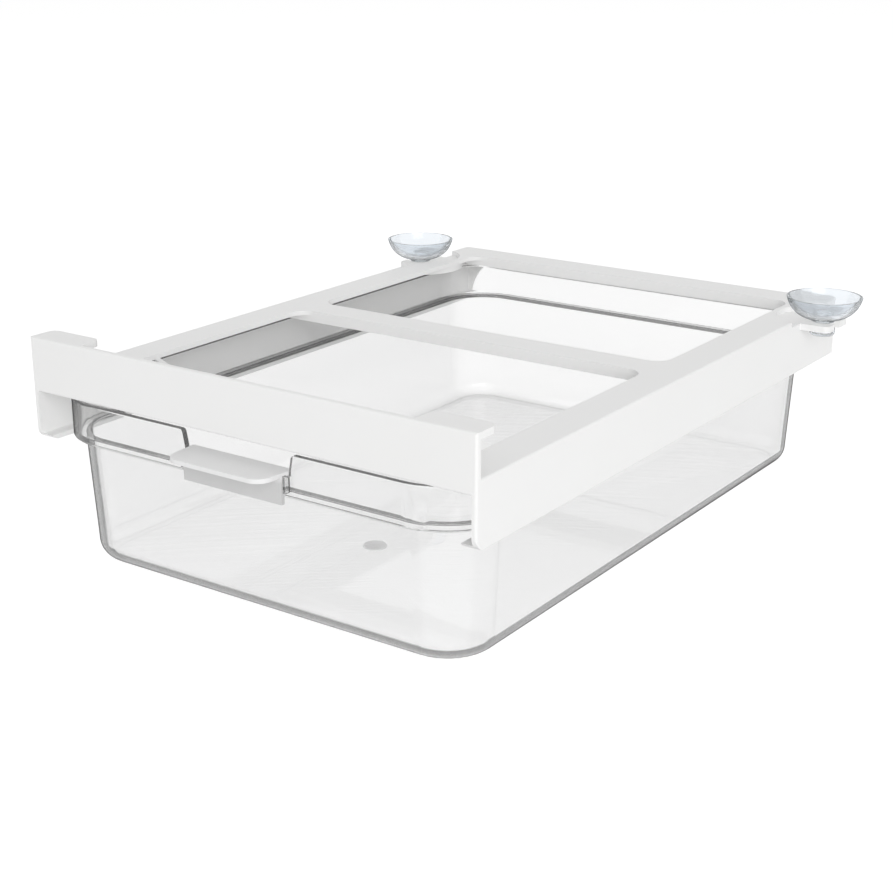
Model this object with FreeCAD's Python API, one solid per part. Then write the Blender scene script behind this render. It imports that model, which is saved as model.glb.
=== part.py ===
import FreeCAD, Part
import math
import os
from FreeCAD import Vector

# A clear drawer that hangs under a fridge shelf in a white holder frame. All sizes are in millimetres.
# While it is built, X runs to the right, Y runs back from the outer face of the apron, and Z is up from the
# top face of the holder's plate. The last step moves the origin to the middle of the base.

# Holder frame: overall sizes and walls
FRAME_WIDTH = 230.0
FRAME_LENGTH = 331.5
PLATE_THICKNESS = 2.2
FRAME_FRONT_RADIUS = 1.2
FRAME_REAR_RADIUS = 3.5

# Side rails: C-shaped sections, open towards the tray
RAIL_WIDTH = 17.9
RAIL_DEPTH = 27.8
RAIL_WALL = 2.3
RAIL_TOP_RADIUS = 1.0
RAIL_FOOT_RADIUS = 0.9
RAIL_NOSE_RADIUS = 5.8
RAIL_INNER_RADIUS = 0.7
LIP_WIDTH = 8.0
LIP_THICKNESS = 2.3
LIP_EDGE_RADIUS = 0.5

# Crossbars and the windows between them
FRONT_STRIP = 36.4
MIDDLE_BAR_FRONT = 158.1
MIDDLE_BAR_WIDTH = 16.8
REAR_BAR_WIDTH = 18.35
WINDOW_RADIUS = 8.0
WINDOW_FRONT_RADIUS = 1.5
BAR_DEPTH = 5.3
SKIRT_THICKNESS = 2.0
STOP_DEPTH = 10.0
WEB_SPAN = 11.3
WEB_FOOT = 1.8
WEB_HOLLOW = 1.6

# Ribs on the front strip, which stand behind a shelf's trim, and fingers that stop the open tray
TRIM_RIB_WIDTH = 1.5
TRIM_RIB_HEIGHT = 6.0
TRIM_RIB_SLOPE = 0.54
FINGER_FROM_FRONT = 53.0
FINGER_REACH = 12.5
FINGER_DROP = 9.6
FINGER_THICKNESS = 2.8
FINGER_WIDTH = 2.2

# Front apron with its two hook tabs, which grip the front edge of a shelf
APRON_THICKNESS = 2.5
APRON_RISE = 18.0
APRON_DROP = 6.0
APRON_EDGE_RADIUS = 0.9
TAB_REACH = 14.0
TAB_WIDTH = 28.5
TAB_THICKNESS = 2.8
TAB_OUTER_RADIUS = 4.0
TAB_INNER_RADIUS = 3.6

# Forked ears that carry the suction cups
CUP_FROM_REAR = 36.3
EAR_TIP_REACH = 7.4
EAR_FRONT_REACH = 10.9
EAR_REAR_REACH = 14.5
EAR_DROP = 2.6
EAR_THICKNESS = 3.2
EAR_CORNER_RADIUS = 3.0
RELIEF_CLEARANCE = 4.1
RELIEF_WALL = 1.5

# Suction cups: radii from the axis, heights above the ear's top face
CUP_RADIUS = 18.4
CUP_HEIGHT = 12.4
CUP_RIM = 1.1
CUP_SHOULDER_RADIUS = 15.5
CUP_SHOULDER_HEIGHT = 6.3
CUP_SHOULDER_WALL = 1.6
CUP_BOWL_MIDDLE = 2.8
CUP_BOSS_RADIUS = 5.5
CUP_BOSS_HEIGHT = 1.0
NECK_RADIUS = 3.2
NECK_CLEARANCE = 0.3
KNOB_RADIUS = 6.2
KNOB_HEIGHT = 3.5
KNOB_ROUNDING = 1.8
KNOB_GAP = 0.2
KNOB_WALL_GAP = 0.9

# Tray: collar, inward step and tapered body
TRAY_SETBACK = 0.5
TRAY_REAR_GAP = 0.5
COLLAR_GAP = 1.3
RIM_GAP = 1.3
RUNNER_GAP = 0.1
TRAY_WALL = 2.5
TRAY_FLOOR = 2.5
STEP_THICKNESS = 2.2
LIP_GAP = 0.6
TRAY_BODY_HEIGHT = 58.0
TRAY_TAPER = 3.2
COLLAR_RADIUS = 30.6
TRAY_BASE_RADIUS = 9.0
RIM_RADIUS = 0.8
STEP_EDGE_RADIUS = 1.0
STEP_INNER_RADIUS = 0.8
GATE_MARK_FROM_FRONT = 90.5
GATE_MARK_RADIUS = 5.5
GATE_MARK_DEPTH = 0.4

# Handle notch in the tray's front collar wall, and the two guide ribs beside it
NOTCH_WIDTH = 54.6
NOTCH_DEPTH = 9.1
NOTCH_MOUTH_WIDTH = 57.4
NOTCH_SLOPE_DEPTH = 7.0
NOTCH_ROUNDING = 2.0
GUIDE_WIDTH = 1.4
GUIDE_REACH = 2.6
GUIDE_GAP = 0.4
GUIDE_RISE = 0.7
GUIDE_FOOT = 2.7

# Handle clip
HANDLE_WIDTH = 51.6
HANDLE_TAB_REAR_WIDTH = 52.8
HANDLE_TAB_FRONT_WIDTH = 50.2
HANDLE_REACH = 14.2
HANDLE_THICKNESS = 1.8
HANDLE_CORNER_RADIUS = 7.0
HANDLE_REAR_RADIUS = 0.8
HANDLE_EDGE_RADIUS = 0.4
HANDLE_SEAT_GAP = 0.1
SKIRT_OUTSET = 3.0
HANDLE_SKIRT_HANG = 2.2
HANDLE_LEG_THICKNESS = 1.4
HANDLE_LEG_CLEARANCE = 1.3
HANDLE_LEG_WIDTH = 44.0
HANDLE_LEG_GAP = 0.15
SPACER_COUNT = 3
SPACER_WIDTH = 1.6
SPACER_PITCH = 20.0
SPACER_FOOT = 1.8

# Places that follow from the sizes above
HALF_WIDTH = FRAME_WIDTH / 2
RAIL_INNER_EDGE = HALF_WIDTH - RAIL_WIDTH
WALL_INNER = HALF_WIDTH - RAIL_WALL
LIP_INNER_EDGE = HALF_WIDTH - LIP_WIDTH
LIP_TOP = -RAIL_DEPTH + LIP_THICKNESS
REAR_BAR_FRONT = FRAME_LENGTH - REAR_BAR_WIDTH
MIDDLE_BAR_REAR = MIDDLE_BAR_FRONT + MIDDLE_BAR_WIDTH
STOP_FACE = FRAME_LENGTH - SKIRT_THICKNESS
CUP_X = HALF_WIDTH + KNOB_RADIUS + KNOB_WALL_GAP
EAR_TIP = CUP_X + EAR_TIP_REACH
CUP_Y = FRAME_LENGTH - CUP_FROM_REAR
EAR_TOP = -EAR_DROP
EAR_BOTTOM = EAR_TOP - EAR_THICKNESS
RELIEF_RADIUS = CUP_RADIUS + RELIEF_CLEARANCE
RIM_TOP = -APRON_DROP - RIM_GAP
STEP_BOTTOM = LIP_TOP + RUNNER_GAP
STEP_TOP = STEP_BOTTOM + STEP_THICKNESS
TRAY_BASE = STEP_BOTTOM - TRAY_BODY_HEIGHT
COLLAR_HALF_WIDTH = WALL_INNER - COLLAR_GAP
TRAY_STEP = COLLAR_HALF_WIDTH - LIP_INNER_EDGE + LIP_GAP
TRAY_REAR = STOP_FACE - TRAY_REAR_GAP
NOTCH_FLOOR = RIM_TOP - NOTCH_DEPTH
HANDLE_UNDERSIDE = NOTCH_FLOOR + HANDLE_SEAT_GAP
HANDLE_TOP = HANDLE_UNDERSIDE + HANDLE_THICKNESS
SKIRT_FACE = TRAY_SETBACK - SKIRT_OUTSET
LEG_FRONT = TRAY_SETBACK + TRAY_WALL + HANDLE_LEG_GAP
LEG_REAR = LEG_FRONT + HANDLE_LEG_THICKNESS
ORIGIN = Vector(0, (FRAME_LENGTH - HANDLE_REACH) / 2, TRAY_BASE)

# How far a cutter or a buried end runs past the face that it meets
OVERRUN = 1.0
SHORTEST_EDGE = 1e-6


def flat(height):
    """Places outline points (x, y) in the level plane at this height."""
    return lambda point: Vector(point.x, point.y, height)


def upright(depth):
    """Places outline points (x, z) in the plane across the frame at this y."""
    return lambda point: Vector(point.x, depth, point.y)


def sideways(across):
    """Places outline points (y, z) in the plane along the frame at this x."""
    return lambda point: Vector(across, point.x, point.y)


def rounded_wire(corners, place):
    """Closed wire through (u, v, radius) corners, each rounded by its own radius."""
    bends = []
    for index, (u, v, radius) in enumerate(corners):
        corner = Vector(u, v, 0)
        previous = corners[index - 1]
        following = corners[(index + 1) % len(corners)]
        back = (Vector(previous[0], previous[1], 0) - corner).normalize()
        ahead = (Vector(following[0], following[1], 0) - corner).normalize()
        half_angle = back.getAngle(ahead) / 2
        reach = radius / math.tan(half_angle)
        depth = radius / math.sin(half_angle) - radius
        middle = corner + (back + ahead).normalize() * depth
        bends.append((corner + back * reach, middle, corner + ahead * reach))
    edges = []
    for index, (start, middle, end) in enumerate(bends):
        if (end - start).Length > SHORTEST_EDGE:
            edges.append(Part.Arc(place(start), place(middle), place(end)).toShape())
        next_start = bends[(index + 1) % len(bends)][0]
        if (next_start - end).Length > SHORTEST_EDGE:
            edges.append(Part.LineSegment(place(end), place(next_start)).toShape())
    return Part.Wire(edges)


def prism(corners, place, along):
    """Solid of a rounded outline pushed along a vector."""
    return Part.Face(rounded_wire(corners, place)).extrude(along)


def box(x_range, y_range, z_range):
    """Box between the two ends of each range."""
    size = [high - low for low, high in (x_range, y_range, z_range)]
    return Part.makeBox(*size, Vector(x_range[0], y_range[0], z_range[0]))


def mirrored(shape):
    """The same shape on the other side of the frame's middle plane."""
    return shape.mirror(Vector(0, 0, 0), Vector(1, 0, 0))


def rectangle(half_width, front, rear, front_radius, rear_radius):
    """Corners of a rectangle that is centred across the frame."""
    return [(-half_width, front, front_radius), (half_width, front, front_radius),
            (half_width, rear, rear_radius), (-half_width, rear, rear_radius)]


def edges_at(shape, height):
    """The edges of a shape that lie wholly in the level plane at this height."""
    return [edge for edge in shape.Edges
            if abs(edge.BoundBox.ZMin - height) < 1e-4 and abs(edge.BoundBox.ZMax - height) < 1e-4]


def side_rail():
    """Right C-shaped rail: top plate, side wall and the lip that the tray's step runs on."""
    profile = [(RAIL_INNER_EDGE, 0, 0), (HALF_WIDTH, 0, RAIL_TOP_RADIUS),
               (HALF_WIDTH, -RAIL_DEPTH, RAIL_FOOT_RADIUS),
               (LIP_INNER_EDGE, -RAIL_DEPTH, LIP_EDGE_RADIUS), (LIP_INNER_EDGE, LIP_TOP, LIP_EDGE_RADIUS),
               (WALL_INNER, LIP_TOP, RAIL_INNER_RADIUS), (WALL_INNER, -PLATE_THICKNESS, RAIL_INNER_RADIUS),
               (RAIL_INNER_EDGE, -PLATE_THICKNESS, 0)]
    return prism(profile, upright(0), Vector(0, FRAME_LENGTH, 0))


def nose_waste():
    """Cutter that rounds the lower front corner of both rails, as seen from the side."""
    lowest = -RAIL_DEPTH - OVERRUN
    nose_top = -RAIL_DEPTH + RAIL_NOSE_RADIUS
    reach = 2 * RAIL_NOSE_RADIUS
    block = prism([(-OVERRUN, nose_top, 0), (reach, nose_top, 0), (reach, lowest, 0), (-OVERRUN, lowest, 0)],
                  sideways(-HALF_WIDTH - OVERRUN), Vector(FRAME_WIDTH + 2 * OVERRUN, 0, 0))
    kept = prism([(0, nose_top + OVERRUN, 0), (2 * reach, nose_top + OVERRUN, 0),
                  (2 * reach, -RAIL_DEPTH, 0), (0, -RAIL_DEPTH, RAIL_NOSE_RADIUS)],
                 sideways(-HALF_WIDTH - 2 * OVERRUN), Vector(FRAME_WIDTH + 4 * OVERRUN, 0, 0))
    return block.cut(kept)


def window(front, rear, front_radius):
    """Cutter for one window of the plate."""
    corners = rectangle(RAIL_INNER_EDGE, front, rear, front_radius, WINDOW_RADIUS)
    return prism(corners, flat(-PLATE_THICKNESS - OVERRUN), Vector(0, 0, PLATE_THICKNESS + 2 * OVERRUN))


def plate():
    """Front strip and crossbars, as one flat plate between the rails."""
    across = RAIL_INNER_EDGE + OVERRUN
    sheet = box((-across, across), (0, FRAME_LENGTH), (-PLATE_THICKNESS, 0))
    sheet = sheet.cut(window(FRONT_STRIP, MIDDLE_BAR_FRONT, WINDOW_FRONT_RADIUS))
    return sheet.cut(window(MIDDLE_BAR_REAR, REAR_BAR_FRONT, WINDOW_RADIUS))


def bar_skirts():
    """Stiffening skirts under the crossbars; the rearmost one stops the tray."""
    across = WALL_INNER + RAIL_WALL / 2
    depths = {MIDDLE_BAR_FRONT: BAR_DEPTH, MIDDLE_BAR_REAR - SKIRT_THICKNESS: BAR_DEPTH,
              REAR_BAR_FRONT: BAR_DEPTH, STOP_FACE: STOP_DEPTH}
    return [box((-across, across), (front, front + SKIRT_THICKNESS), (-depth, -PLATE_THICKNESS / 2))
            for front, depth in depths.items()]


def trim_rib():
    """Right low rib on the plate, at the window's front corner; a shelf's front trim sits before it."""
    rear = FRONT_STRIP
    front = rear - TRIM_RIB_HEIGHT / TRIM_RIB_SLOPE
    buried_z = -PLATE_THICKNESS / 2
    corners = [(rear, 0, 0), (rear, buried_z, 0), (front, buried_z, 0), (front, TRIM_RIB_HEIGHT, 0)]
    return prism(corners, sideways(RAIL_INNER_EDGE - TRIM_RIB_WIDTH), Vector(TRIM_RIB_WIDTH, 0, 0))


def stop_finger():
    """Right finger that leans back and down from the rail's inner edge, to stop the tray's rear wall."""
    root = FINGER_FROM_FRONT
    tip = root + FINGER_REACH
    corners = [(root, 0, 0), (root + FINGER_THICKNESS, 0, 0), (tip + FINGER_THICKNESS, -FINGER_DROP, 0),
               (tip, -FINGER_DROP, 0)]
    return prism(corners, sideways(RAIL_INNER_EDGE), Vector(FINGER_WIDTH, 0, 0))


def corner_web():
    """Right rear corner web, with a hollow edge, from the stop skirt down to the lip."""
    upper = Vector(WALL_INNER - WEB_SPAN, -STOP_DEPTH, 0)
    lower = Vector(WALL_INNER - WEB_FOOT, LIP_TOP, 0)
    chord = lower - upper
    outward = Vector(-chord.y, chord.x, 0).normalize()
    middle = (upper + lower) * 0.5 + outward * WEB_HOLLOW
    buried_x = WALL_INNER + RAIL_WALL / 2
    top_left = Vector(upper.x, -STOP_DEPTH + OVERRUN, 0)
    top_right = Vector(buried_x, -STOP_DEPTH + OVERRUN, 0)
    foot_right = Vector(buried_x, LIP_TOP - LIP_THICKNESS / 2, 0)
    foot_left = Vector(lower.x, LIP_TOP - LIP_THICKNESS / 2, 0)
    place = upright(STOP_FACE)
    edges = [Part.Arc(place(upper), place(middle), place(lower)).toShape()]
    loop = [lower, foot_left, foot_right, top_right, top_left, upper]
    for start, end in zip(loop, loop[1:]):
        edges.append(Part.LineSegment(place(start), place(end)).toShape())
    return Part.Face(Part.Wire(edges)).extrude(Vector(0, SKIRT_THICKNESS, 0))


def apron():
    """Front apron, from below the plate up to the hook tabs."""
    profile = [(0, -APRON_DROP, APRON_EDGE_RADIUS), (0, APRON_RISE, APRON_EDGE_RADIUS),
               (APRON_THICKNESS, APRON_RISE, 0), (APRON_THICKNESS, -APRON_DROP, APRON_EDGE_RADIUS)]
    return prism(profile, sideways(-HALF_WIDTH), Vector(FRAME_WIDTH, 0, 0))


def hook_tab():
    """Right hook tab, which lies on top of the shelf."""
    inner = HALF_WIDTH - TAB_WIDTH
    front = APRON_EDGE_RADIUS
    corners = [(inner, front, 0), (HALF_WIDTH, front, 0),
               (HALF_WIDTH, TAB_REACH, TAB_OUTER_RADIUS), (inner, TAB_REACH, TAB_INNER_RADIUS)]
    return prism(corners, flat(APRON_RISE - TAB_THICKNESS), Vector(0, 0, TAB_THICKNESS))


def cup_cylinder(radius, bottom, top):
    """Upright cylinder on the right cup's axis."""
    return Part.makeCylinder(radius, top - bottom, Vector(CUP_X, CUP_Y, bottom))


def relief_pocket():
    """Floor and rim of the right rail's round relief below the cup's bowl."""
    disc = cup_cylinder(RELIEF_RADIUS + RELIEF_WALL, EAR_BOTTOM, -PLATE_THICKNESS / 2)
    rail_part = box((RAIL_INNER_EDGE, WALL_INNER + RAIL_WALL / 2), (0, FRAME_LENGTH), (EAR_BOTTOM, 0))
    return disc.common(rail_part)


def ear():
    """Right forked ear, before its slot is cut."""
    front = CUP_Y - EAR_FRONT_REACH
    rear = CUP_Y + EAR_REAR_REACH
    buried_x = WALL_INNER + RAIL_WALL / 2
    corners = [(buried_x, front, 0), (EAR_TIP, front, EAR_CORNER_RADIUS),
               (EAR_TIP, rear, EAR_CORNER_RADIUS), (buried_x, rear, 0)]
    return prism(corners, flat(EAR_BOTTOM), Vector(0, 0, EAR_THICKNESS))


def ear_slot():
    """Cutter for the right ear's slot: open outwards, round at the cup's axis."""
    half_slot = NECK_RADIUS + NECK_CLEARANCE
    z_range = (EAR_BOTTOM - OVERRUN, EAR_TOP + OVERRUN)
    mouth = box((CUP_X, EAR_TIP + OVERRUN), (CUP_Y - half_slot, CUP_Y + half_slot), z_range)
    return mouth.fuse(cup_cylinder(half_slot, *z_range))


def holder_frame():
    """The white holder: rails, plate, skirts, webs, apron, hook tabs and ears in one moulding."""
    rail = side_rail()
    web = corner_web()
    tab = hook_tab()
    rib = trim_rib()
    finger = stop_finger()
    pieces = [rail, mirrored(rail), plate(), web, mirrored(web), apron(), tab, mirrored(tab),
              rib, mirrored(rib), finger, mirrored(finger)]
    body = pieces[0].fuse(pieces[1:] + bar_skirts())
    envelope = rectangle(HALF_WIDTH, 0, FRAME_LENGTH, FRAME_FRONT_RADIUS, FRAME_REAR_RADIUS)
    lowest = -RAIL_DEPTH - OVERRUN
    body = body.common(prism(envelope, flat(lowest), Vector(0, 0, APRON_RISE + OVERRUN - lowest)))
    pocket = relief_pocket()
    fork = ear()
    body = body.fuse([pocket, mirrored(pocket), fork, mirrored(fork)])
    relief = cup_cylinder(RELIEF_RADIUS, EAR_TOP, OVERRUN)
    slot = ear_slot()
    return body.cut([relief, mirrored(relief), slot, mirrored(slot), nose_waste()]).removeSplitter()


def tray_outline(inset, height):
    """Corners of the tray's plan at a height, drawn in by an inset from its collar."""
    return rounded_wire(rectangle(COLLAR_HALF_WIDTH - inset, TRAY_SETBACK + inset, TRAY_REAR - inset,
                                  COLLAR_RADIUS - inset, COLLAR_RADIUS - inset), flat(height))


def tapered_block(top_inset, top, bottom_inset, bottom, base_radius):
    """Solid between two tray outlines, with a rounded bottom edge."""
    block = Part.makeLoft([tray_outline(bottom_inset, bottom), tray_outline(top_inset, top)], True, True)
    return block.makeFillet(base_radius, edges_at(block, bottom))


def collar_block(inset, bottom, top):
    """Straight-sided solid of the tray's plan, drawn in by an inset."""
    return Part.Face(tray_outline(inset, bottom)).extrude(Vector(0, 0, top - bottom))


def tray_outside():
    """The tray's outer form: collar above, tapered body below the step."""
    collar = collar_block(0, STEP_BOTTOM, RIM_TOP)
    collar = collar.makeFillet(STEP_EDGE_RADIUS, edges_at(collar, STEP_BOTTOM))
    body = tapered_block(TRAY_STEP, STEP_TOP, TRAY_STEP + TRAY_TAPER, TRAY_BASE, TRAY_BASE_RADIUS)
    return collar.fuse(body)


def tray_inside():
    """The tray's hollow, one wall inside its outer form."""
    collar = collar_block(TRAY_WALL, STEP_TOP, RIM_TOP + OVERRUN)
    inset = TRAY_STEP + TRAY_WALL
    body = tapered_block(inset, STEP_TOP + OVERRUN, inset + TRAY_TAPER, TRAY_BASE + TRAY_FLOOR,
                         TRAY_BASE_RADIUS - TRAY_FLOOR)
    return collar.fuse(body)


def notch():
    """Cutter for the handle notch: straight at the bottom, flared above, rounded into the rim."""
    mouth = NOTCH_MOUTH_WIDTH / 2
    throat = NOTCH_WIDTH / 2
    slope_end = RIM_TOP - NOTCH_SLOPE_DEPTH
    above = RIM_TOP + OVERRUN
    outer = mouth + 2 * NOTCH_ROUNDING
    corners = [(-outer, above, 0), (-outer, RIM_TOP, 0), (-mouth, RIM_TOP, NOTCH_ROUNDING),
               (-throat, slope_end, 0), (-throat, NOTCH_FLOOR, 0), (throat, NOTCH_FLOOR, 0),
               (throat, slope_end, 0), (mouth, RIM_TOP, NOTCH_ROUNDING), (outer, RIM_TOP, 0),
               (outer, above, 0)]
    return prism(corners, upright(TRAY_SETBACK - OVERRUN), Vector(0, TRAY_WALL + 2 * OVERRUN, 0))


def guide_rib():
    """Right guide rib, which keeps the handle's skirt from shifting sideways."""
    inner = HANDLE_WIDTH / 2 + GUIDE_GAP
    top = NOTCH_FLOOR + GUIDE_RISE
    return box((inner, inner + GUIDE_WIDTH), (TRAY_SETBACK - GUIDE_REACH, TRAY_SETBACK + TRAY_WALL / 2),
               (STEP_BOTTOM + GUIDE_FOOT, top))


def gate_mark():
    """Cutter for the shallow round mark in the middle of the tray's underside."""
    centre = Vector(0, TRAY_SETBACK + GATE_MARK_FROM_FRONT, TRAY_BASE - OVERRUN)
    return Part.makeCylinder(GATE_MARK_RADIUS, GATE_MARK_DEPTH + OVERRUN, centre)


def tray():
    """The clear drawer."""
    body = tray_outside().cut(tray_inside()).removeSplitter()
    body = body.makeFillet(STEP_INNER_RADIUS, edges_at(body, STEP_TOP))
    body = body.makeFillet(RIM_RADIUS, edges_at(body, RIM_TOP))
    rib = guide_rib()
    body = body.fuse([rib, mirrored(rib)])
    return body.cut([notch(), gate_mark()])


def handle_tab():
    """The level tab to pull on, with rounded front corners and soft top edges."""
    rear_half = HANDLE_TAB_REAR_WIDTH / 2
    front_half = HANDLE_TAB_FRONT_WIDTH / 2
    corners = [(-front_half, -HANDLE_REACH, HANDLE_CORNER_RADIUS),
               (front_half, -HANDLE_REACH, HANDLE_CORNER_RADIUS),
               (rear_half, LEG_REAR, HANDLE_REAR_RADIUS), (-rear_half, LEG_REAR, HANDLE_REAR_RADIUS)]
    tab = prism(corners, flat(HANDLE_UNDERSIDE), Vector(0, 0, HANDLE_THICKNESS))
    return tab.makeFillet(HANDLE_EDGE_RADIUS, edges_at(tab, HANDLE_TOP))


def spacers():
    """Short ribs behind the skirt that hold it off the collar wall."""
    rear = TRAY_SETBACK - HANDLE_LEG_GAP
    first = -SPACER_PITCH * (SPACER_COUNT - 1) / 2
    places = [first + SPACER_PITCH * index for index in range(SPACER_COUNT)]
    return [box((x - SPACER_WIDTH / 2, x + SPACER_WIDTH / 2), (SKIRT_FACE + HANDLE_THICKNESS / 2, rear),
                (STEP_BOTTOM + SPACER_FOOT, HANDLE_UNDERSIDE + HANDLE_THICKNESS / 2)) for x in places]


def handle_clip():
    """The white pull that straddles the collar wall in the notch."""
    buried_z = HANDLE_UNDERSIDE + HANDLE_THICKNESS / 2
    skirt_half = HANDLE_WIDTH / 2
    leg_half = HANDLE_LEG_WIDTH / 2
    skirt = box((-skirt_half, skirt_half), (SKIRT_FACE, SKIRT_FACE + HANDLE_THICKNESS),
                (STEP_BOTTOM - HANDLE_SKIRT_HANG, buried_z))
    leg = box((-leg_half, leg_half), (LEG_FRONT, LEG_REAR),
              (STEP_TOP + HANDLE_LEG_CLEARANCE, buried_z))
    return handle_tab().fuse([skirt, leg] + spacers()).removeSplitter()


def curve_through(points):
    """Smooth curve through points."""
    curve = Part.BSplineCurve()
    curve.interpolate(points)
    return curve


def suction_cup(axis_x):
    """One suction cup: bowl, boss, neck and the knob below the ear, turned about an upright axis."""
    knob_top = EAR_BOTTOM - KNOB_GAP
    knob_bottom = knob_top - KNOB_HEIGHT
    rim_height = EAR_TOP + CUP_HEIGHT
    bowl_bottom = EAR_TOP + CUP_BOWL_MIDDLE
    shoulder_height = EAR_TOP + CUP_SHOULDER_HEIGHT
    bend_setback = KNOB_ROUNDING * (1 - math.sqrt(0.5))
    wall_shift = CUP_SHOULDER_WALL * math.sqrt(0.5)
    corners = [(0, bowl_bottom), (0, knob_bottom), (KNOB_RADIUS - KNOB_ROUNDING, knob_bottom),
               (KNOB_RADIUS, knob_bottom + KNOB_ROUNDING), (KNOB_RADIUS, knob_top), (NECK_RADIUS, knob_top),
               (NECK_RADIUS, EAR_TOP), (CUP_BOSS_RADIUS, EAR_TOP),
               (CUP_BOSS_RADIUS, EAR_TOP + CUP_BOSS_HEIGHT), (CUP_RADIUS, rim_height),
               (CUP_RADIUS - CUP_RIM, rim_height), (0, bowl_bottom)]
    points = [Vector(radius, 0, height) for radius, height in corners]
    knob_bend = Vector(KNOB_RADIUS - bend_setback, 0, knob_bottom + bend_setback)
    outer_shoulder = Vector(CUP_SHOULDER_RADIUS, 0, shoulder_height)
    inner_shoulder = outer_shoulder + Vector(-wall_shift, 0, wall_shift)
    curves = {2: Part.Arc(points[2], knob_bend, points[3]),
              8: curve_through([points[8], outer_shoulder, points[9]]),
              10: curve_through([points[10], inner_shoulder, points[11]])}
    edges = [curves.get(index, Part.LineSegment(points[index], points[index + 1])).toShape()
             for index in range(len(points) - 1)]
    cup = Part.Face(Part.Wire(edges)).revolve(Vector(0, 0, 0), Vector(0, 0, 1), 360)
    return cup.translated(Vector(axis_x, CUP_Y, 0))


def main():
    os.makedirs("parts", exist_ok=True)
    nodes = {"holder_frame": holder_frame(), "tray": tray(), "handle_clip": handle_clip(),
             "suction_cup_left": suction_cup(-CUP_X), "suction_cup_right": suction_cup(CUP_X)}
    for name, shape in nodes.items():
        placed = shape.translated(-ORIGIN)
        print(name, len(placed.Solids), placed.isValid(), round(placed.Volume, 1), placed.BoundBox)
        placed.exportStep(f"parts/{name}.step")


main()
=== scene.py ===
import bpy
import math
from collections import Counter, defaultdict
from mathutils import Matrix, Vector


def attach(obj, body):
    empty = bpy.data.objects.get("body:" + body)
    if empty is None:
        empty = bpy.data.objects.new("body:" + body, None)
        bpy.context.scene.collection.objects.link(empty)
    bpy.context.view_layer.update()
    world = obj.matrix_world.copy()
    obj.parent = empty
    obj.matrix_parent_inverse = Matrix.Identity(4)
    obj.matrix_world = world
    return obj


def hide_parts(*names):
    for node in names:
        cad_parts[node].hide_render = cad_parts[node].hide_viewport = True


# Clear drawer in a white holder frame. Everything is in metres, in the frame that the CAD model fixes:
# X to the right, Y from the handle to the rear, Z up from the floor.
MM = 0.001

# Where the camera stands and how it looks
CAMERA_PLACE = Vector((414.8, -607.68, 280.82)) * MM
CAMERA_AZIMUTH = math.radians(34.876)
CAMERA_PITCH = math.radians(18.837)
CAMERA_LENS = 65.54
SENSOR_WIDTH = 36.0

# Stage: the floor, how much brighter it is to the eye than to the drawer, and the light from all round
FLOOR_SIZE = 14.0
FLOOR_COLOUR = "#F4F4F4"
FLOOR_LIFT = 0.42
ROOM_LIGHT = 0.62

# Lamps: side length in metres, power in watts, and the place that both point at
LAMP_AIM = Vector((0, 0, 0.05))
KEY_PLACE = Vector((2.15, -2.0, 0.95))
KEY_SIZE = 2.2
KEY_POWER = 45
TOP_PLACE = Vector((-0.3, 0.6, 2.2))
TOP_SIZE = 2.0
TOP_POWER = 3

# Widths that the patterns are worked out from: clouds and grain of the white and the frosted plastic,
# flow waves of the clear drawer, and waves in the soft cups
FRAME_CLOUD = 55.6 * MM
FRAME_GRAIN = 0.385 * MM
HANDLE_CLOUD = 16.7 * MM
HANDLE_GRAIN = 0.5 * MM
TRAY_WAVE = 45.5 * MM
CUP_WAVE = 8.33 * MM

# What each plastic does to light that enters it
POLYPROPYLENE_IOR = 1.49
POLYSTYRENE_IOR = 1.57
VINYL_IOR = 1.53

# Clear walls: how far round from face on (0) to edge on (1) they begin to take the painted grey edge shade
# and take it fully, and how much of the light goes straight on, unbent, at an edge and face on
EDGE_START = 0.66
EDGE_END = 0.90
EDGE_SHARE = 0.85
TRAY_FACE_SHARE = 0.04
CUP_FACE_SHARE = 0.12

# How fast the clear plastics take up light, per metre of depth
TRAY_DENSITY = 8.0
CUP_DENSITY = 12.0

# Level from which the handle's thin skirt, under its tab, turns greyer with painted shade, and over what
# height
SKIRT_SHADE_TOP = 67.0 * MM
SKIRT_SHADE_FADE = 2.5 * MM

# Matt disc on the drawer's floor where the plastic was fed in: it spans both faces of the floor
GATE_PLACE = Vector((0, -67.65, 0)) * MM
GATE_RADIUS = 5.6 * MM
GATE_ROUGHNESS = 0.3

# Where a smooth face ends and an edge begins, and how near two loose corners are one
SMOOTH_ANGLE = math.radians(35)
MERGE_DISTANCE = 0.001 * MM

# Faces in one plane of this area make a flat, and smaller ones are facets of a curve. Normals and places
# that agree to so many digits are the same.
FLAT_AREA = 500 * MM * MM
PLANE_DIGITS = 4


def linear(hex_colour):
    """sRGB hex colour as linear RGBA."""
    channels = [int(hex_colour[start:start + 2], 16) / 255 for start in (1, 3, 5)]
    return [c / 12.92 if c <= 0.04045 else ((c + 0.055) / 1.055) ** 2.4 for c in channels] + [1.0]


def add_node(tree, kind, settings=None, inputs=None):
    """Adds a shader node, sets its properties, and links or sets its input sockets."""
    node = tree.nodes.new(kind)
    for name, value in (settings or {}).items():
        setattr(node, name, value)
    for name, value in (inputs or {}).items():
        socket = node.inputs[name]
        if isinstance(value, bpy.types.NodeSocket):
            tree.links.new(value, socket)
        else:
            socket.default_value = value
    return node


def new_material(name):
    """Empty node material."""
    material = bpy.data.materials.new(name)
    material.use_nodes = True
    material.node_tree.nodes.clear()
    return material


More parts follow.
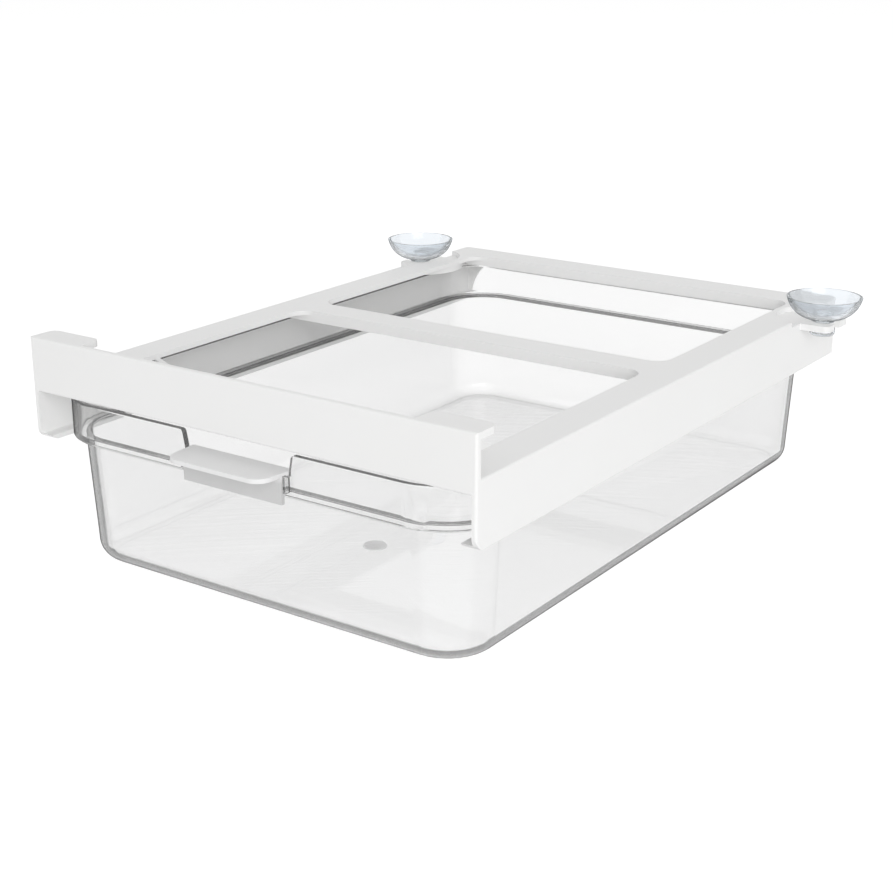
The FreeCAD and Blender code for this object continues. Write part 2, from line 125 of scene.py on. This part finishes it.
def white_moulded_polypropylene():
    """White polypropylene from a spark-eroded mould: satin and even, with a very fine grain.

    The real grain is about 0.05 mm wide and is drawn at about 0.4 mm, so that it shows.
    """
    material = new_material("white_moulded_polypropylene")
    tree = material.node_tree
    place = add_node(tree, "ShaderNodeTexCoord").outputs["Object"]
    cloud = add_node(tree, "ShaderNodeTexNoise", None,
                     {"Vector": place, "Scale": 1 / FRAME_CLOUD, "Detail": 2.0})
    tone = add_node(tree, "ShaderNodeMix", {"data_type": "RGBA"},
                    {0: cloud.outputs["Fac"], 6: linear("#F0F0EF"), 7: linear("#F4F4F4")})
    grain = add_node(tree, "ShaderNodeTexNoise", None,
                     {"Vector": place, "Scale": 1 / FRAME_GRAIN, "Detail": 2.0})
    bump = add_node(tree, "ShaderNodeBump", None,
                    {"Strength": 0.12, "Distance": 0.06 * MM, "Height": grain.outputs["Fac"]})
    gloss = add_node(tree, "ShaderNodeMapRange", None,
                     {"Value": cloud.outputs["Fac"], "To Min": 0.40, "To Max": 0.48})
    skin = add_node(tree, "ShaderNodeBsdfPrincipled", None,
                    {"Base Color": tone.outputs[2], "Roughness": gloss.outputs["Result"],
                     "IOR": POLYPROPYLENE_IOR, "Normal": bump.outputs["Normal"]})
    add_node(tree, "ShaderNodeOutputMaterial", None, {"Surface": skin.outputs[0]})
    return material


def frosted_polypropylene():
    """Natural polypropylene from a matt mould: milky pale grey and soft in its gloss, with painted shade
    greying its skirt under the tab.

    The real grain is about 0.1 mm wide and is drawn at 0.5 mm, so that it shows.
    """
    material = new_material("frosted_polypropylene")
    tree = material.node_tree
    place = add_node(tree, "ShaderNodeTexCoord").outputs["Object"]
    cloud = add_node(tree, "ShaderNodeTexNoise", None,
                     {"Vector": place, "Scale": 1 / HANDLE_CLOUD, "Detail": 3.0})
    milk = add_node(tree, "ShaderNodeMix", {"data_type": "RGBA"},
                    {0: cloud.outputs["Fac"], 6: linear("#E9E9E9"), 7: linear("#EFEFEF")})
    level = add_node(tree, "ShaderNodeSeparateXYZ", None, {"Vector": place})
    skirt_shade = add_node(tree, "ShaderNodeMapRange", None,
                     {"Value": level.outputs["Z"],
                      "From Min": SKIRT_SHADE_TOP, "From Max": SKIRT_SHADE_TOP - SKIRT_SHADE_FADE})
    # Painted shade: below the skirt level the milky tone turns to #D0D0D0, as if shaded by the tab above.
    tone = add_node(tree, "ShaderNodeMix", {"data_type": "RGBA"},
                    {0: skirt_shade.outputs["Result"], 6: milk.outputs[2], 7: linear("#D0D0D0")})
    grain = add_node(tree, "ShaderNodeTexNoise", None,
                     {"Vector": place, "Scale": 1 / HANDLE_GRAIN, "Detail": 2.0})
    bump = add_node(tree, "ShaderNodeBump", None,
                    {"Strength": 0.25, "Distance": 0.1 * MM, "Height": grain.outputs["Fac"]})
    skin = add_node(tree, "ShaderNodeBsdfPrincipled", None,
                    {"Base Color": tone.outputs[2], "Roughness": 0.5, "IOR": POLYPROPYLENE_IOR,
                     "Normal": bump.outputs["Normal"]})
    add_node(tree, "ShaderNodeOutputMaterial", None, {"Surface": skin.outputs[0]})
    return material


def clear_wall(tree, skin, face_share, edge_shade_colour, density):
    """Finishes a clear plastic: nearly unseen face on, a painted grey shade line edge on, and lamp light
    passes.
    """
    facing = add_node(tree, "ShaderNodeLayerWeight", None, {"Blend": 0.5})
    edge = add_node(tree, "ShaderNodeMapRange", {"interpolation_type": "SMOOTHSTEP"},
                    {"Value": facing.outputs["Facing"], "From Min": EDGE_START, "From Max": EDGE_END})
    share = add_node(tree, "ShaderNodeMapRange", None,
                     {"Value": edge.outputs["Result"], "To Min": face_share, "To Max": EDGE_SHARE})
    # Painted shade: the straight light darkens from white to the edge colour as the wall turns edge on.
    tint_and_edge_shade = add_node(tree, "ShaderNodeMix", {"data_type": "RGBA"},
                    {0: edge.outputs["Result"], 6: linear("#FFFFFF"), 7: linear(edge_shade_colour)})
    straight = add_node(tree, "ShaderNodeBsdfTransparent", None, {"Color": tint_and_edge_shade.outputs[2]})
    seen = add_node(tree, "ShaderNodeMixShader", None,
                    {0: share.outputs["Result"], 1: skin.outputs[0], 2: straight.outputs[0]})
    path = add_node(tree, "ShaderNodeLightPath")
    unseen = add_node(tree, "ShaderNodeMath", {"operation": "MAXIMUM"},
                      {0: path.outputs["Is Shadow Ray"], 1: path.outputs["Is Diffuse Ray"]})
    clear = add_node(tree, "ShaderNodeBsdfTransparent", None, {"Color": linear("#FEFEFE")})
    mix = add_node(tree, "ShaderNodeMixShader", None,
                   {0: unseen.outputs[0], 1: seen.outputs[0], 2: clear.outputs[0]})
    depth = add_node(tree, "ShaderNodeVolumeAbsorption", None,
                     {"Color": linear("#CCCCCC"), "Density": density})
    add_node(tree, "ShaderNodeOutputMaterial", None,
             {"Surface": mix.outputs[0], "Volume": depth.outputs[0]})


def wall_tint_and_edge_shade(tree, face_colour, trapped_shade_colour):
    """Colour of a clear wall, its own faint tint face on, with painted shade for light that entered it and
    bounced inside: the dark edge lines.

    Such light has bounced at least as often as it has passed a face. The test is for more, not for as many,
    so half a bounce is taken off the limit.
    """
    path = add_node(tree, "ShaderNodeLightPath")
    entered = add_node(tree, "ShaderNodeMath", {"operation": "MAXIMUM"},
                       {0: path.outputs["Transmission Depth"], 1: 1.0})
    limit = add_node(tree, "ShaderNodeMath", {"operation": "SUBTRACT"}, {0: entered.outputs[0], 1: 0.5})
    trapped = add_node(tree, "ShaderNodeMath", {"operation": "GREATER_THAN"},
                       {0: path.outputs["Glossy Depth"], 1: limit.outputs[0]})
    return add_node(tree, "ShaderNodeMix", {"data_type": "RGBA"},
                    {0: trapped.outputs[0], 6: linear(face_colour), 7: linear(trapped_shade_colour)})


def clear_polystyrene():
    """Clear polystyrene from a polished mould: glass-clear and glossy, with faint, wide flow waves.

    The trimmed gate is a matt, greyer disc in the floor.
    """
    material = new_material("clear_polystyrene")
    tree = material.node_tree
    place = add_node(tree, "ShaderNodeTexCoord").outputs["Object"]
    waves = add_node(tree, "ShaderNodeTexNoise", None,
                     {"Vector": place, "Scale": 1 / TRAY_WAVE, "Detail": 1.0})
    bump = add_node(tree, "ShaderNodeBump", None,
                    {"Strength": 0.02, "Distance": 0.3 * MM, "Height": waves.outputs["Fac"]})
    # Painted shade: light trapped in the wall turns #484848 to draw the dark edge lines; #F9F9F9 is the
    # plastic's own faint tint.
    tint_and_edge_shade = wall_tint_and_edge_shade(tree, "#F9F9F9", "#484848")
    from_gate = add_node(tree, "ShaderNodeVectorMath", {"operation": "DISTANCE"}, {0: place, 1: GATE_PLACE})
    gate = add_node(tree, "ShaderNodeMath", {"operation": "LESS_THAN"},
                    {0: from_gate.outputs["Value"], 1: GATE_RADIUS})
    colour = add_node(tree, "ShaderNodeMix", {"data_type": "RGBA"},
                      {0: gate.outputs[0], 6: tint_and_edge_shade.outputs[2], 7: linear("#D2D2D2")})
    gloss = add_node(tree, "ShaderNodeMath", {"operation": "MULTIPLY"},
                     {0: gate.outputs[0], 1: GATE_ROUGHNESS})
    skin = add_node(tree, "ShaderNodeBsdfPrincipled", None,
                    {"Base Color": colour.outputs[2], "Roughness": gloss.outputs[0], "IOR": POLYSTYRENE_IOR,
                     "Transmission Weight": 1.0, "Normal": bump.outputs["Normal"]})
    # Painted shade: the straight light through edge-on drawer walls darkens to #606060.
    clear_wall(tree, skin, TRAY_FACE_SHARE, "#606060", TRAY_DENSITY)
    return material


def soft_clear_vinyl():
    """Soft clear vinyl, cast smooth: a faint cool tint, a slightly oily gloss and uneven walls."""
    material = new_material("soft_clear_vinyl")
    tree = material.node_tree
    place = add_node(tree, "ShaderNodeTexCoord").outputs["Object"]
    waves = add_node(tree, "ShaderNodeTexNoise", None,
                     {"Vector": place, "Scale": 1 / CUP_WAVE, "Detail": 1.0})
    bump = add_node(tree, "ShaderNodeBump", None,
                    {"Strength": 0.08, "Distance": 0.3 * MM, "Height": waves.outputs["Fac"]})
    skin = add_node(tree, "ShaderNodeBsdfPrincipled", None,
                    {"Base Color": linear("#E9EEF3"), "Roughness": 0.05, "IOR": VINYL_IOR,
                     "Transmission Weight": 1.0, "Normal": bump.outputs["Normal"]})
    # Painted shade: the straight light through edge-on cup walls darkens to #9BA3A8.
    clear_wall(tree, skin, CUP_FACE_SHARE, "#9BA3A8", CUP_DENSITY)
    return material


def seen_rays(tree):
    """1 for what the eye sees directly, in gloss or through clear plastic, and 0 for light that lights."""
    path = add_node(tree, "ShaderNodeLightPath")
    direct = add_node(tree, "ShaderNodeMath", {"operation": "MAXIMUM"},
                      {0: path.outputs["Is Camera Ray"], 1: path.outputs["Is Glossy Ray"]})
    return add_node(tree, "ShaderNodeMath", {"operation": "MAXIMUM"},
                    {0: direct.outputs[0], 1: path.outputs["Is Transmission Ray"]})


def pale_floor():
    """Plain white paper: it reads as white to the eye, and it keeps the soft shadow."""
    material = new_material("pale_floor")
    tree = material.node_tree
    lift = add_node(tree, "ShaderNodeMath", {"operation": "MULTIPLY"},
                    {0: seen_rays(tree).outputs[0], 1: FLOOR_LIFT})
    paper = add_node(tree, "ShaderNodeBsdfDiffuse", None, {"Color": linear(FLOOR_COLOUR)})
    glow = add_node(tree, "ShaderNodeEmission", None,
                    {"Color": linear("#FFFFFF"), "Strength": lift.outputs[0]})
    both = add_node(tree, "ShaderNodeAddShader", None, {0: paper.outputs[0], 1: glow.outputs[0]})
    add_node(tree, "ShaderNodeOutputMaterial", None, {"Surface": both.outputs[0]})
    return material


def finish_node(frame, name, material):
    """Gives a CAD node its finish."""
    node = frame["nodes"][name]
    node.data.materials.clear()
    node.data.materials.append(material)


def keep_flats_flat(mesh):
    """Shades each large flat as a flat up to its border, so that only the curves are smooth.

    The corners of faces that meet at a point and share one normal there make a fan. A fan that touches a
    flat takes the flat's normal.
    """
    planes = {}
    plane_areas = Counter()
    for face in mesh.polygons:
        place = (*face.normal, face.normal.dot(face.center))
        planes[face.index] = tuple(round(value, PLANE_DIGITS) for value in place)
        plane_areas[planes[face.index]] += face.area
    normals = [corner.vector.copy() for corner in mesh.corner_normals]
    fans = defaultdict(list)
    for face in mesh.polygons:
        for corner in face.loop_indices:
            shading = tuple(round(value, PLANE_DIGITS) for value in normals[corner])
            fans[(mesh.loops[corner].vertex_index, shading)].append((corner, face))
    for fan in fans.values():
        flats = [face for _, face in fan if plane_areas[planes[face.index]] > FLAT_AREA]
        if flats:
            normal = sum((face.normal * face.area for face in flats), Vector()).normalized()
            for corner, _ in fan:
                normals[corner] = normal
    mesh.normals_split_custom_set(normals)


def smooth_skin(frame, name, body, material):
    """Copy of a CAD node, with its loose corners merged and its curves smooth, that stands for the node."""
    node = frame["nodes"][name]
    skin = bpy.data.objects.new(name + "_skin", node.data.copy())
    bpy.context.scene.collection.objects.link(skin)
    bpy.ops.object.select_all(action="DESELECT")
    skin.select_set(True)
    bpy.context.view_layer.objects.active = skin
    bpy.ops.object.mode_set(mode="EDIT")
    bpy.ops.mesh.select_all(action="SELECT")
    bpy.ops.mesh.remove_doubles(threshold=MERGE_DISTANCE)
    bpy.ops.object.mode_set(mode="OBJECT")
    bpy.ops.mesh.customdata_custom_splitnormals_clear()
    bpy.ops.object.shade_smooth_by_angle(angle=SMOOTH_ANGLE)
    keep_flats_flat(skin.data)
    skin.select_set(False)
    skin.data.materials.clear()
    skin.data.materials.append(material)
    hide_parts(name)
    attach(skin, body)


def add_camera():
    """Camera at the product view."""
    data = bpy.data.cameras.new("camera")
    data.lens = CAMERA_LENS
    data.sensor_width = SENSOR_WIDTH
    camera = bpy.data.objects.new("camera", data)
    camera.location = CAMERA_PLACE
    camera.rotation_euler = (math.pi / 2 - CAMERA_PITCH, 0, CAMERA_AZIMUTH)
    bpy.context.scene.collection.objects.link(camera)
    bpy.context.scene.camera = camera


def add_floor():
    """Level floor under the drawer."""
    bpy.ops.mesh.primitive_plane_add(size=FLOOR_SIZE, location=(0, 0, 0))
    floor = bpy.context.object
    floor.name = "floor"
    floor.data.materials.append(pale_floor())


def add_softbox(name, place, size, power):
    """Large square soft lamp that points at the drawer. The camera doesn't see it."""
    data = bpy.data.lights.new(name, "AREA")
    data.shape = "SQUARE"
    data.size = size
    data.energy = power
    lamp = bpy.data.objects.new(name, data)
    lamp.location = place
    lamp.rotation_euler = (LAMP_AIM - place).to_track_quat("-Z", "Y").to_euler()
    lamp.visible_camera = False
    bpy.context.scene.collection.objects.link(lamp)


def add_room():
    """Even studio light from all round. To the eye the room is white."""
    world = bpy.data.worlds.new("studio")
    world.use_nodes = True
    tree = world.node_tree
    tree.nodes.clear()
    strength = add_node(tree, "ShaderNodeMapRange", None,
                        {"Value": seen_rays(tree).outputs[0], "To Min": ROOM_LIGHT, "To Max": 1.0})
    room = add_node(tree, "ShaderNodeBackground", None,
                    {"Color": linear("#FFFFFF"), "Strength": strength.outputs["Result"]})
    add_node(tree, "ShaderNodeOutputWorld", None, {"Surface": room.outputs[0]})
    bpy.context.scene.world = world


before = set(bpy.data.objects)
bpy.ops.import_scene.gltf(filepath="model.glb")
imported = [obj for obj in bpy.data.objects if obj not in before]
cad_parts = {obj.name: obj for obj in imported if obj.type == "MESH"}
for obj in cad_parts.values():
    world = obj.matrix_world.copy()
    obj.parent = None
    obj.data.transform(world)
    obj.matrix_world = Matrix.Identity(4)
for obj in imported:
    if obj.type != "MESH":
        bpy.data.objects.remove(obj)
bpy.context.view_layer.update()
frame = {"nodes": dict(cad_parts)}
bpy.ops.object.select_all(action="DESELECT")
add_camera()
add_floor()
add_room()
add_softbox("key", KEY_PLACE, KEY_SIZE, KEY_POWER)
add_softbox("top", TOP_PLACE, TOP_SIZE, TOP_POWER)
finish_node(frame, "holder_frame", white_moulded_polypropylene())
finish_node(frame, "handle_clip", frosted_polypropylene())
smooth_skin(frame, "tray", "drawer", clear_polystyrene())
vinyl = soft_clear_vinyl()
smooth_skin(frame, "suction_cup_left", "holder", vinyl)
smooth_skin(frame, "suction_cup_right", "holder", vinyl)
bpy.context.scene.view_settings.view_transform = "Standard"
